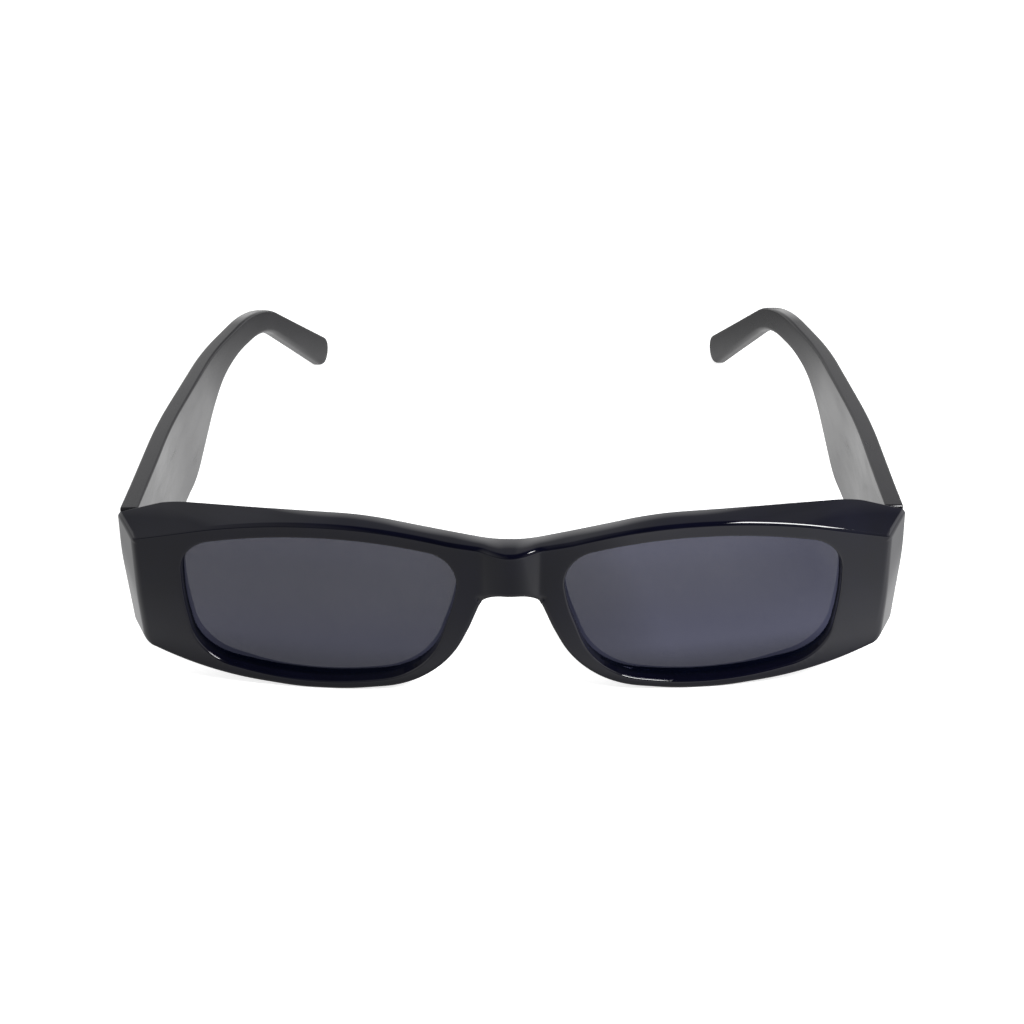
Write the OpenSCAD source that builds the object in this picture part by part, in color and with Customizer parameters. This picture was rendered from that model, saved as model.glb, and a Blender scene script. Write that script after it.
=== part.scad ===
// Rectangular sunglasses with a chunky front, broad paddle temples and five-barrel hinges.
// Frame: +X to the wearer's left, +Y backward along the temples, +Z up.
// The origin is on the resting surface, below the middle of the whole object's box.
// An outline is a list of [across, up, corner radius] going anticlockwise.

/* [Front] */
// Radius of the front's horizontal bow
front_bow_r = 420; // [300:5:700]
// Thickness of the rims from front to back
rim_t = 4.8; // [4.4:0.1:6]
// Depth of the end pieces' flat back face behind the middle of the front
end_back_y = 10.7; // [10.4:0.1:12]
// Width of an end piece outside its lens opening
end_w = 11.8; // [11:0.1:13.4]
// Width of the slanting side facets, seen from the front
side_facet_w = 3.5; // [2:0.1:4.4]
// Width of the end pieces' flat back face
end_land_w = 8.4; // [8:0.1:9.8]
// Width over which the rims thicken toward that flat face
thicken_w = 19; // [13:1:25]
// Height of the end pieces' outer bottom corner
end_bottom_z = 8.9; // [8:0.1:10]
// Height of the brow above the highest vertex of a lens opening
brow_rim_h = 1.1; // [0.8:0.1:2.6]
// Drop from the brow to the end pieces' outer top corner
end_drop = 3.1; // [2:0.1:4]
// Drop from the brow to the bridge's top edge
bridge_drop = 5.1; // [4:0.1:6.5]
// Height of the bridge from its underside to its top
bridge_h = 9.2; // [7.5:0.1:10.5]
// Half width of the bridge's underside between its corners
bridge_half_w = 4.6; // [4.1:0.1:5.1]
// Length of the carved facet at each end of the brow
brow_facet_l = 35.4; // [31:0.5:41]
// Drop from the brow to the front face's top edge at the end pieces
facet_front_drop = 5.2; // [4:0.1:6]
// Drop from the brow to the carved facet at the back of the end pieces
facet_back_drop = 2.2; // [1.5:0.1:3]

/* [Lenses] */
// Half of the gap between the two lens openings
lens_gap_half = 10.4; // [10:0.1:11]
// Width of a lens opening
lens_w = 49.2; // [48.6:0.1:49.8]
// Height of the lens opening's highest vertex
lens_top_z = 34.4; // [34:0.1:34.7]
// Height of the lens opening's lowest vertex
lens_bottom_z = 0.65; // [0.55:0.05:0.95]
// Depth of the lens's front face behind the front of the rim
lens_recess = 2.1; // [1.6:0.1:2.3]
// Thickness of a lens
lens_t = 1.8; // [1.5:0.1:2]
// Depth of the groove that holds the lens edge
groove_depth = 0.5; // [0.35:0.05:0.55]
// Clearance round a lens in its groove
lens_fit = 0.03; // [0.02:0.01:0.06]

/* [Nose pads] */
// Half width of a nose pad
pad_r = 2.1; // [1.8:0.1:2.4]
// Length of a nose pad between its round ends
pad_run = 11; // [9:0.5:12]
// Depth that a nose pad stands behind the rim
pad_depth = 3.6; // [2.8:0.1:4.2]
// Radius of a nose pad's crowned face
pad_crown_r = 13; // [11:0.5:18]
// Glue line between a nose pad and the rim
glue_gap = 0.02; // [0.01:0.01:0.05]

/* [Temples] */
// Thickness of the temples
temple_t = 3.3; // [3.1:0.1:3.6]
// Step from the end pieces' widest place in to the temples' outer face
temple_inset = 0.7; // [0.2:0.1:1.2]
// Height of the temples' top edge at the hinge above the end pieces' top corner
temple_top_rise = 1; // [0.4:0.1:1.4]
// Height of the temples' lower edge at the hinge above the end pieces' bottom corner
temple_low_rise = 0.5; // [0:0.1:2]
// Place along the temple where the tip bends down
ear_bend_y = 103.5; // [99:0.5:108]
// Drop of the temples' top edge from the hinge to that bend
ear_bend_drop = 2.4; // [1.8:0.1:3.6]
// Back end of the temple tips
tip_end_y = 141.4; // [138:0.2:145]
// Gap between an end piece and its temple when open
butt_gap = 0.15; // [0.1:0.05:0.25]

/* [Hinges] */
// Radius of the hinge knuckles
knuckle_r = 1.5; // [1.4:0.05:1.6]
// Height of one hinge knuckle
knuckle_h = 1.7; // [1.5:0.1:2]
// Running gap between hinge knuckles
knuckle_gap = 0.05; // [0.04:0.01:0.1]
// Clearance between the knuckles and the end piece and temple beside them
knuckle_clear = 0.25; // [0.2:0.05:0.4]
// Height of the middle of the hinge
hinge_z = 21; // [18:0.5:23]
// Radius of the hinge screw's shank
screw_r = 0.7; // [0.6:0.05:0.75]
// Radius of the hinge screw's head
screw_head_r = 1.25; // [1.1:0.05:1.35]
// Height of the hinge screw's head
screw_head_h = 0.7; // [0.5:0.05:0.9]
// Width of the slot in the screw's head
slot_w = 0.35; // [0.25:0.05:0.45]
// Depth of the slot in the screw's head
slot_depth = 0.35; // [0.2:0.05:0.4]
// Running clearance of the screw in the knuckles
screw_fit = 0.05; // [0.03:0.01:0.08]
// Clearance of the screw's thread in the bottom knuckle
thread_fit = 0.02; // [0.01:0.01:0.03]
// Thickness of the hinge leaves' plates
leaf_t = 1.1; // [0.9:0.1:1.2]
// Height that the hinge leaves' plates reach past the knuckles at each end
leaf_margin = 0.2; // [0.1:0.1:0.8]
// Width of the plate set in the end piece
front_leaf_w = 4.2; // [3.8:0.1:4.6]
// Length of the plate set in the temple, behind the hinge axis
temple_leaf_l = 11; // [9:0.5:14]
// Length of the anchor pins behind the plate in the end piece
anchor_l = 1.8; // [1.2:0.1:2]
// Radius of the anchor pins
anchor_r = 0.6; // [0.5:0.05:0.7]
// Clearance round an embedded plate, pin or wire
set_clear = 0.04; // [0.02:0.01:0.08]
// Thickness of the temples' core wire
core_t = 1; // [0.8:0.1:1.1]
// Height of the temples' core wire
core_h = 1.6; // [1.2:0.1:2]

/* [Hidden] */

// Fineness of round stretches
arc_step = 6;
shell_fn = 720;
small_fn = 48;
crown_fn = 180;
// Reach of cutting and framing solids past what they cut
past = 20;
// Overlap of solids that are joined into one
lap = 0.1;
// Width of the block behind a slanting cut
cutter_w = 160;

lens_out_x = lens_gap_half + lens_w;
lens_mid_x = lens_gap_half + lens_w / 2;
end_half_w = lens_out_x + end_w;
// Half width of the flat front face, where the side facets start
face_half_w = end_half_w - side_facet_w;
end_back_x = end_half_w - end_land_w;
thicken_x = end_back_x - thicken_w;
brow_z = lens_top_z + brow_rim_h;
end_top_z = brow_z - end_drop;
bridge_top_z = brow_z - bridge_drop;
bridge_under_z = bridge_top_z - bridge_h;

// Half length of the flat on which each rim rests
rest_half = 4.4;
// Middle of the rim's resting flat
rest_x = lens_mid_x - 0.4;

// The right half of the front's outline, from the bridge's underside round to its top
front_half = [[bridge_half_w, bridge_under_z, 3.9], [lens_gap_half - 2.9, 14.2, 12],
    [lens_gap_half + 2.9, 2.1, 18.7], [rest_x - rest_half, 0, 50], [rest_x + rest_half, 0, 50],
    [lens_out_x - 2.9, 2.3, 68], [end_half_w - 1.2, end_bottom_z, 1.6], [end_half_w, 25, 60],
    [end_half_w - 0.2, end_top_z, 0.8], [lens_out_x + 1.8, brow_z - 0.3, 26],
    [lens_mid_x + 8.5, brow_z, 75], [lens_mid_x - 9, brow_z - 0.4, 60], [3.1, bridge_top_z, 4]];

// A lens opening's outline, from its lowest vertex outward
lens_outline = eased([[lens_mid_x + 1.4, lens_bottom_z, 61], [lens_out_x - 1.9, lens_bottom_z + 5.3, 10],
    [lens_out_x, 18.8, 45], [lens_out_x - 0.2, lens_top_z - 5, 6.8], [lens_mid_x - 0.5, lens_top_z, 90],
    [lens_gap_half - 1.4, lens_top_z - 5.7, 6.6], [lens_gap_half - 0.2, 19.2, 30],
    [lens_gap_half + 5.1, lens_bottom_z + 3.5, 13.8]]);

temple_x = end_half_w - temple_inset;
temple_y = end_back_y + butt_gap;
temple_top_z = end_top_z + temple_top_rise;
temple_low_z = end_bottom_z + temple_low_rise;
ear_bend_z = temple_top_z - ear_bend_drop;
// Distance from the end of the temple's broad part to the bend of the tip
slim_l = 45;
paddle_y = ear_bend_y - slim_l;
// Inward reach of the temple's far end, and how far its plan is drawn past the tip
tip_in = 25;
tip_past = 6;
// The temple's outer face seen from above, from the hinge back
temple_plan = eased([[temple_x, temple_y, 0], [temple_x - 1.3, 45, 200], [temple_x - 5.5, 79, 95],
    [temple_x - tip_in, tip_end_y + tip_past, 0]]);
// Angle by which the temple's first stretch leans inward
toe = atan2(temple_plan[0].x - temple_plan[1].x, temple_plan[1].y - temple_plan[0].y);

// Height of the temple tip's round end
tip_end_z = 4.1;
// The side view of a temple, [back, up, corner radius], from the hinge along its lower edge
temple_side = eased([[temple_y, temple_low_z, 0], [paddle_y - 13.5, temple_low_z + 3, 60],
    [paddle_y, temple_low_z + 3.5, 18], [paddle_y + 28, ear_bend_z - 5.2, 30],
    [ear_bend_y + 2, ear_bend_z - 6.6, 25], [tip_end_y - 5.4, 0, 0.4], [tip_end_y - 3.4, 0, 0.8],
    [tip_end_y, tip_end_z, 4.4], [ear_bend_y, ear_bend_z, 36], [temple_y, temple_top_z, 0]]);
// The core wire's middle line in the same view
core_start_y = end_back_y + 5;
core_line = eased([[core_start_y, hinge_z, 0], [paddle_y + 9, ear_bend_z - 6.5, 60],
    [paddle_y + 27.5, ear_bend_z - 2.5, 40], [ear_bend_y, ear_bend_z - 3.4, 12],
    [tip_end_y - 10.4, 8.2, 0]]);

// Length of the open object from front to back, which the origin halves
reach_y = max([for (p = rounded(temple_side)) p[0]]);

hinge_y = end_back_y + knuckle_clear + knuckle_r;
// The hinge axis, found from the temple's inner face
inner_x = temple_x - temple_t / cos(toe) - tan(toe) * (hinge_y - temple_y);
hinge_x = inner_x - (knuckle_r + knuckle_clear) / cos(toe);
knuckle_pitch = knuckle_h + knuckle_gap;
knuckle_count = 5;
knuckle_stack = knuckle_count * knuckle_pitch - knuckle_gap;
knuckle_top = hinge_z + knuckle_stack / 2;
leaf_h = knuckle_stack + 2 * leaf_margin;
// Width of the webs that join the knuckles to their plates
web_w = 2.1;
// Place of a web's edge beside the hinge axis
web_edge = 0.9;
// Depth by which a plate's pocket is cut out past the face
breakout_depth = 1;

// Middle of a nose pad and its lean, along the rim's nose side
pad_x = lens_gap_half - 0.5;
pad_z = 11.6;
pad_lean = 25;

plastic = [0.035, 0.035, 0.042];
lens_tint = [0.2, 0.2, 0.25];
metal = [0.72, 0.72, 0.7];

function xy(p) = [p[0], p[1]];
function unit(v) = v / norm(v);
function outward(a, b) = let (d = unit(xy(b) - xy(a))) [d[1], -d[0]];
function reversed(list) = [for (i = [len(list) - 1 : -1 : 0]) list[i]];
function cross2(u, v) = u[0] * v[1] - u[1] * v[0];

// A path moved sideways by a distance, its corner radii following
function shifted(path, by, closed = true) =
    let (n = len(path))
    [for (i = [0 : n - 1])
        let (before = path[(i + n - 1) % n], here = path[i], after = path[(i + 1) % n],
            first = !closed && i == 0, last = !closed && i == n - 1,
            na = outward(first ? here : before, first ? after : here),
            nb = outward(last ? before : here, last ? here : after),
            miter = (na + nb) / (1 + na * nb), turn = sign(cross2(na, nb)))
        [here[0] + by * miter[0], here[1] + by * miter[1], here[2] == 0 ? 0 : here[2] + by * turn]];

// Length that the rounding of a corner takes from each edge beside it
function corner_run(path, i) =
    let (n = len(path), a = path[(i + n - 1) % n], p = path[i % n], b = path[(i + 1) % n])
    p[2] == 0 ? 0 : p[2] / tan(acos(unit(xy(a) - xy(p)) * unit(xy(b) - xy(p))) / 2);

// How far the roundings at both ends of an edge fit on it, up to 1
function edge_share(path, i) =
    let (n = len(path), run = corner_run(path, i) + corner_run(path, i + 1))
    run == 0 ? 1 : min(1, norm(xy(path[(i + 1) % n]) - xy(path[i % n])) / run);

// A path whose corner radii are limited by the edges beside them
function eased(path) =
    let (n = len(path))
    [for (i = [0 : n - 1])
        [path[i][0], path[i][1], path[i][2] * min(edge_share(path, i + n - 1), edge_share(path, i))]];

// The points of the arc that rounds one corner
function corner(a, p, b) =
    p[2] == 0 ? [xy(p)] :
    let (u = unit(xy(a) - xy(p)), v = unit(xy(b) - xy(p)), half = acos(u * v) / 2,
        centre = xy(p) + unit(u + v) * p[2] / sin(half),
        start = xy(p) + u * p[2] / tan(half) - centre, end = xy(p) + v * p[2] / tan(half) - centre,
        from = atan2(start[1], start[0]), sweep = atan2(cross2(start, end), start * end),
        steps = max(2, ceil(abs(sweep) / arc_step)))
    [for (k = [0 : steps]) centre + p[2] * [cos(from + sweep * k / steps), sin(from + sweep * k / steps)]];

function rounded(path, closed = true) =
    let (n = len(path))
    [for (i = [0 : n - 1]) each
        (!closed && (i == 0 || i == n - 1)) ? [xy(path[i])]
        : corner(path[(i + n - 1) % n], path[i], path[(i + 1) % n])];

// A closed band between two sideways places of an open path
function band(path, low, high) =
    concat(rounded(shifted(path, low, false), false), reversed(rounded(shifted(path, high, false), false)));

function front_y(x) = front_bow_r - sqrt(front_bow_r * front_bow_r - x * x);

// An outline seen from the front, drawn from one depth to another
module along_y(from, to) translate([0, to, 0]) rotate([90, 0, 0]) linear_extrude(to - from) children();

// An outline seen from the side, drawn across the temple's reach
module along_x(from, to)
    translate([from, 0, 0]) rotate([90, 0, 90]) linear_extrude(to - from) children();

// The bowed slab between two depths behind the front face
module bowed(from, to) {
    translate([0, front_bow_r, -past]) difference() {
        cylinder(h = brow_z + 2 * past, r = front_bow_r - from, $fn = shell_fn);
        translate([0, 0, -lap])
            cylinder(h = brow_z + 2 * past + 2 * lap, r = front_bow_r - to, $fn = shell_fn);
    }
}

// The half space beyond a plane through three points
module beyond(a, b, c) {
    side = cross(b - a, c - a);
    up = side / norm(side);
    translate(a) rotate([0, acos(up[2]), atan2(up[1], up[0])])
        translate([-cutter_w / 2, -cutter_w / 2, 0]) cube([cutter_w, cutter_w, past]);
}

module both_sides() {
    children();
    mirror([1, 0, 0]) children();
}

// Moves a finished piece so that the origin lies under the middle of the whole
module placed() translate([0, -reach_y / 2, 0]) children();

module front_outline() {
    left_half = [for (p = reversed(front_half)) [-p[0], p[1], p[2]]];
    polygon(rounded(eased(concat(front_half, left_half))));
}

// Flat-backed wedge that thickens each end piece behind the rim
module end_block() {
    wedge_y = front_y(thicken_x);
    linear_extrude(brow_z + past)
        polygon([[thicken_x, wedge_y + lap], [end_half_w + lap, wedge_y + lap],
            [end_half_w + lap, end_back_y], [end_back_x, end_back_y], [thicken_x, wedge_y + rim_t]]);
}

module brow_facet() {
    start_x = end_half_w - brow_facet_l;
    beyond([start_x, front_y(start_x), brow_z],
        [face_half_w, front_y(face_half_w), brow_z - facet_front_drop],
        [end_half_w, end_back_y, brow_z - facet_back_drop]);
}

module side_facet() {
    // Vertical plane from the face's outer edge to the back corner
    face = [face_half_w, front_y(face_half_w)];
    back = [end_half_w, end_back_y];
    run = back - face;
    translate([0, 0, -past]) linear_extrude(brow_z + 2 * past)
        polygon([face - run, face - run + [past, -past / 2], back + run + [past, 0], back + run]);
}

module lens_opening() along_y(-past, past) polygon(rounded(lens_outline));

module lens_slab(grow, ease) {
    intersection() {
        along_y(-past, past) polygon(rounded(shifted(lens_outline, groove_depth + grow)));
        bowed(lens_recess - ease, lens_recess + lens_t + ease);
    }
}

module front_frame() color(plastic) placed() {
    difference() {
        intersection() {
            along_y(-lap, end_back_y) front_outline();
            union() {
                bowed(0, rim_t);
                intersection() {
                    both_sides() end_block();
                    bowed(0, past);
                }
            }
        }
        both_sides() {
            lens_opening();
            lens_slab(0, lens_fit);
            brow_facet();
            side_facet();
            front_leaf_plate(set_clear);
        }
    }
}

module lens() color(lens_tint) placed() lens_slab(-lens_fit, 0);

// A pad glued behind the nose side of a rim, its crowned face turned to the nose
module nose_pad() color(plastic) placed() {
    intersection() {
        bowed(rim_t + glue_gap, rim_t + pad_depth);
        along_y(0, past) translate([pad_x, pad_z]) rotate(pad_lean) {
            square([2 * pad_r, pad_run], center = true);
            for (end = [-1, 1]) translate([0, end * pad_run / 2]) circle(pad_r, $fn = small_fn);
        }
        translate([pad_x, rim_t, pad_z]) rotate([0, -pad_lean, 0])
            translate([pad_crown_r - pad_r, 0, 0]) sphere(pad_crown_r, $fn = crown_fn);
    }
}

// Underside of a knuckle of the hinge, counted from the top
function knuckle_low(index) = knuckle_top - knuckle_h - index * knuckle_pitch;

module knuckle(index) {
    translate([hinge_x, hinge_y, knuckle_low(index)])
        cylinder(h = knuckle_h, r = knuckle_r, $fn = small_fn);
}

module screw_bore(index, clear) {
    translate([hinge_x, hinge_y, knuckle_low(index) - knuckle_gap / 2])
        cylinder(h = knuckle_pitch, r = screw_r + clear, $fn = small_fn);
}

// How far a pocket runs out through the face in which its plate is set
function breakout(grow) = grow > 0 ? breakout_depth : 0;

// The plate and anchor pins of the front leaf, grown by a clearance for its pocket
module front_leaf_plate(grow) {
    plate_x = hinge_x + web_edge - front_leaf_w;
    translate([plate_x - grow, end_back_y - leaf_t - grow, hinge_z - leaf_h / 2 - grow])
        cube([front_leaf_w + 2 * grow, leaf_t + grow + breakout(grow), leaf_h + 2 * grow]);
    for (up = [-1, 1])
        translate([plate_x + front_leaf_w / 2, end_back_y - leaf_t + lap, hinge_z + up * leaf_h / 4])
            rotate([90, 0, 0]) cylinder(h = anchor_l + lap + grow, r = anchor_r + grow, $fn = small_fn);
}

module front_hinge_leaf() color(metal) placed() {
    difference() {
        union() {
            front_leaf_plate(0);
            for (i = [0 : 2 : knuckle_count - 1]) {
                knuckle(i);
                translate([hinge_x + web_edge - web_w, end_back_y - lap, knuckle_low(i)])
                    cube([web_w, knuckle_r + knuckle_clear + lap, knuckle_h]);
            }
        }
        for (i = [0 : 2 : knuckle_count - 3]) screw_bore(i, screw_fit);
        screw_bore(knuckle_count - 1, thread_fit);
    }
}

// The plate of the temple leaf, drawn beside the hinge axis and grown by a clearance
module temple_leaf_plate(grow) {
    translate([hinge_x, hinge_y, 0]) rotate([0, 0, toe])
        translate([knuckle_r + knuckle_clear - breakout(grow), -web_edge - lap - grow,
            hinge_z - leaf_h / 2 - grow])
            cube([leaf_t + grow + breakout(grow), temple_leaf_l + web_edge + lap + 2 * grow,
                leaf_h + 2 * grow]);
}

module temple_hinge_leaf() color(metal) placed() {
    difference() {
        union() {
            temple_leaf_plate(0);
            for (i = [1 : 2 : knuckle_count - 2]) {
                knuckle(i);
                translate([hinge_x, hinge_y, knuckle_low(i)]) rotate([0, 0, toe])
                    translate([0, -web_edge, 0])
                        cube([knuckle_r + knuckle_clear + lap, web_w, knuckle_h]);
            }
        }
        for (i = [1 : 2 : knuckle_count - 2]) screw_bore(i, screw_fit);
    }
}

module hinge_screw() color(metal) placed() {
    shank_low = knuckle_low(knuckle_count - 1);
    translate([hinge_x, hinge_y, 0]) difference() {
        union() {
            translate([0, 0, shank_low]) cylinder(h = knuckle_top - shank_low + lap, r = screw_r, $fn = small_fn);
            translate([0, 0, knuckle_top]) cylinder(h = screw_head_h, r = screw_head_r, $fn = small_fn);
        }
        translate([-screw_head_r - lap, -slot_w / 2, knuckle_top + screw_head_h - slot_depth])
            cube([2 * screw_head_r + 2 * lap, slot_w, slot_depth + lap]);
    }
}

// Depths of the core wire from the temple's outer face
core_out = temple_t - leaf_t - core_t;

module core_wire(grow) {
    intersection() {
        linear_extrude(brow_z + past)
            polygon(band(temple_plan, -core_out - core_t - grow, -core_out + grow));
        along_x(0, end_half_w)
            polygon(band(core_line, -core_h / 2 - grow, core_h / 2 + grow));
    }
}

module temple() color(plastic) placed() {
    difference() {
        intersection() {
            linear_extrude(brow_z + past) polygon(band(temple_plan, -temple_t, 0));
            along_x(0, end_half_w) polygon(rounded(temple_side));
        }
        temple_leaf_plate(set_clear);
        core_wire(set_clear);
    }
}

module temple_core() color(metal) placed() core_wire(0);

module lens_left() lens();
module lens_right() mirror([1, 0, 0]) lens();
module nose_pad_left() nose_pad();
module nose_pad_right() mirror([1, 0, 0]) nose_pad();
module front_hinge_leaf_left() front_hinge_leaf();
module front_hinge_leaf_right() mirror([1, 0, 0]) front_hinge_leaf();
module temple_left() temple();
module temple_right() mirror([1, 0, 0]) temple();
module temple_hinge_leaf_left() temple_hinge_leaf();
module temple_hinge_leaf_right() mirror([1, 0, 0]) temple_hinge_leaf();
module temple_core_left() temple_core();
module temple_core_right() mirror([1, 0, 0]) temple_core();
module hinge_screw_left() hinge_screw();
module hinge_screw_right() mirror([1, 0, 0]) hinge_screw();

front_frame();
lens_left();
lens_right();
nose_pad_left();
nose_pad_right();
front_hinge_leaf_left();
front_hinge_leaf_right();
temple_left();
temple_right();
temple_hinge_leaf_left();
temple_hinge_leaf_right();
temple_core_left();
temple_core_right();
hinge_screw_left();
hinge_screw_right();
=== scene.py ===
"""Rectangular sunglasses: smooth bodies, materials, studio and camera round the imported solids.

Sizes are in millimetres in the object's own frame, with y = 0 at the middle of the front,
and become metres in the row frame when a mesh is made.
An outline is a list of corners [across, up, radius] going anticlockwise.
"""
import math

import bmesh
import bpy
import numpy as np
from mathutils import Matrix, Quaternion, Vector
from mathutils.geometry import delaunay_2d_cdt


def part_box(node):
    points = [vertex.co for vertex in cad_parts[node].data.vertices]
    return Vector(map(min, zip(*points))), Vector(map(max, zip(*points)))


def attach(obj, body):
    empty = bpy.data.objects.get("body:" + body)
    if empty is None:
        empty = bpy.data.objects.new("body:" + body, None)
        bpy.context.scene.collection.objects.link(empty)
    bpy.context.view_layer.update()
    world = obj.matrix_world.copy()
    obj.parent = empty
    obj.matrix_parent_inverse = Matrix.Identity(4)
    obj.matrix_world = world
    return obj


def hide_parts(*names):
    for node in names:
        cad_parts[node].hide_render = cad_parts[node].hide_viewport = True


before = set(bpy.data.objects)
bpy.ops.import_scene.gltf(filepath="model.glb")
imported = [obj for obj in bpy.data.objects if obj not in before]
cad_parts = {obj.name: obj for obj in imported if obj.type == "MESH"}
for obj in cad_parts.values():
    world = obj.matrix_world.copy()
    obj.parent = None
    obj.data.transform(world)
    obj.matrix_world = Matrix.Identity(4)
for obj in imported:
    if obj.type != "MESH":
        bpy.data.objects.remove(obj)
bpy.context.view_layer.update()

MM = 0.001
FRONT_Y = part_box("front_frame")[0].y / MM

# Front
BOW_R = 420.0
RIM_T = 4.8
END_BACK_Y = 10.7
THICKEN_X, END_BACK_X = 44.0, 63.0
BRIDGE_HALF_W, BRIDGE_UNDER_Z, BRIDGE_TOP_Z = 4.6, 21.2, 30.4
# The arch under the bridge and the dip in its top, where they meet the face
FACE_UNDER_Z, FACE_TOP_Z = 21.6, 30.5
BULGE_HALF_W, BULGE = 5.2, 1.5
# How softly the bulge and the wedges of the end pieces run out
BULGE_BLEND, BACK_BLEND = 0.05, 0.06
LENS_RECESS, LENS_T, GROOVE, LENS_FIT = 2.1, 1.8, 0.5, 0.03
FRONT_EDGE_R, BACK_EDGE_R, LIP_R = 0.9, 0.25, 0.42
# How much rounder the front edge is at the ends
END_EXTRA_R = 1.1
# How far the top of the outer wall swells between the face and the back
CROWN = 0.17
BROW_X = 34.2

LOW_HALF = [[0, BRIDGE_UNDER_Z, 0], [BRIDGE_HALF_W, BRIDGE_UNDER_Z, 5.0], [7.5, 14.2, 12],
            [13.3, 2.1, 18.7], [30.2, 0, 50], [39.0, 0, 50], [56.7, 2.3, 64]]
FACE_HALF = [[0, FACE_UNDER_Z, 0], [BRIDGE_HALF_W, FACE_UNDER_Z, 5.0]] + LOW_HALF[2:] + [
    [67.5, 7.6, 2.8], [68.0, 17, 80], [67.95, 30.15, 1.3], [BROW_X, 38.0, 93],
    [10.5, 31.95, 22], [0.9, FACE_TOP_Z, 6], [0, FACE_TOP_Z, 0]]
BACK_HALF = LOW_HALF + [
    [70.2, 8.9, 2.8], [71.4, 25, 60], [71.25, 32.9, 1.0], [61.4, 35.4, 26],
    [43.5, 35.7, 75], [26, 35.2, 60], [3.1, BRIDGE_TOP_Z, 26], [0, BRIDGE_TOP_Z, 0]]
# The outlines' corners that lie behind each other: lower bend, lower corner, upper corner
SHARED_CORNERS = [6, 7, 9]

LENS_OUTLINE = [[36.4, 0.65, 61], [57.7, 5.95, 10], [59.6, 18.8, 45], [59.4, 29.4, 6.8],
                [34.5, 34.4, 90], [9.0, 28.7, 6.6], [10.2, 19.2, 30], [15.5, 4.15, 13.8]]
# The lenses' slight curve from top to bottom
LENS_MID_Z, LENS_HALF_H, LENS_SAG = 17.4, 16.0, 0.9
# Room before and behind a lens in its groove, and the bevel of its edge
LENS_ROOM, LENS_BEVEL = 0.02, 0.1

# Nose pads
PAD_X, PAD_Z, PAD_LEAN, PAD_R, PAD_RUN = 9.9, 11.6, 25.0, 2.1, 11.0
PAD_CROWN_R, PAD_BLEND, GLUE = 13.0, 0.25, 0.02
# A pad's ends are just short of half circles, so that its outline's corners stay apart
PAD_END_R = PAD_R - 0.02
# A pad's sides from the rim outward: [how far they draw in, height]
PAD_PROFILE = [[0.25, 0.0], [0.0, 0.0], [0.02, 0.7], [0.1, 1.5], [0.25, 2.2], [0.5, 2.75],
               [0.85, 3.15], [1.25, 3.38], [1.7, 3.48]]
# Keeps the crown's circle real beyond the ends of the pad
CROWN_LIMIT = 160

# Temples
TEMPLE_T, TEMPLE_Y = 3.3, 10.85
# How far the outer side's lower corner behind the end piece draws in, so that the end piece hides it,
# how far back that reaches, and below which height it fades in over how much
TUCK, TUCK_RUN, TUCK_TOP_Z, TUCK_FADE = 0.6, 14, 22, 7
# How the inner side draws in toward the tip, and how the edges get rounder: [y, value]
TEMPLE_THIN = [[30, 3.3], [70, 3.05], [100, 2.85], [141, 2.75]]
TEMPLE_EDGE_R = [[12, 0.22], [20, 0.4], [55, 0.4], [90, 0.6], [125, 0.9]]
TEMPLE_PLAN = [[70.7, TEMPLE_Y, 0], [69.4, 45, 200], [65.2, 79, 95], [45.7, 147.4, 0]]
TEMPLE_SIDE = [[TEMPLE_Y, 9.4, 2.6], [45, 12.4, 60], [58.5, 12.9, 18], [86.5, 25.8, 30],
               [105.5, 24.4, 25], [136, 0, 2.4], [138, 0, 2.4], [141.4, 4.1, 3.6],
               [103.5, 31, 36], [TEMPLE_Y, 33.4, 0.5]]

# Pockets of the hinge plates
FRONT_PLATE = [62.24, 66.53, 16.41, 25.59]
TEMPLE_PLATE = [11.48, 23.59, 16.41, 25.59]
PLATE_POCKET = 1.14

# Mesh sizes: the distance and turning between points along an outline, and the pitch of the nets
WALL_PITCH, WALL_TURN = 1.0, 4.0
LENS_PITCH, LENS_TURN, LENS_NET = 1.2, 5.0, 1.6
PAD_PITCH, PAD_TURN = 0.6, 10
TEMPLE_PITCH, TEMPLE_TURN, TEMPLE_NET = 1.1, 5.0, 1.4
PLATE_PITCH, SEAM_PITCH, FRONT_NET = 0.8, 0.6, 1.3
# A finer net for the bridge: low corner, high corner, pitch
BRIDGE_NET = (np.array([0, 15]), np.array([8.5, 36]), 0.55)
# Distance of a net's rows and its distance from the edges, as parts of its pitch
ROW_PART, EDGE_PART = 0.866, 0.45
EDGE_STEPS, CROWN_STEPS, LIP_STEPS, BACK_STEPS = 8, 5, 5, 4
# Edges that turn by more than this are shaded as sharp, and the metal's are bevelled
SHARP_TURN = math.radians(40)
METAL_BEVEL = 0.08


def unit(v):
    v = np.asarray(v, float)
    return v / np.linalg.norm(v)


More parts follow.
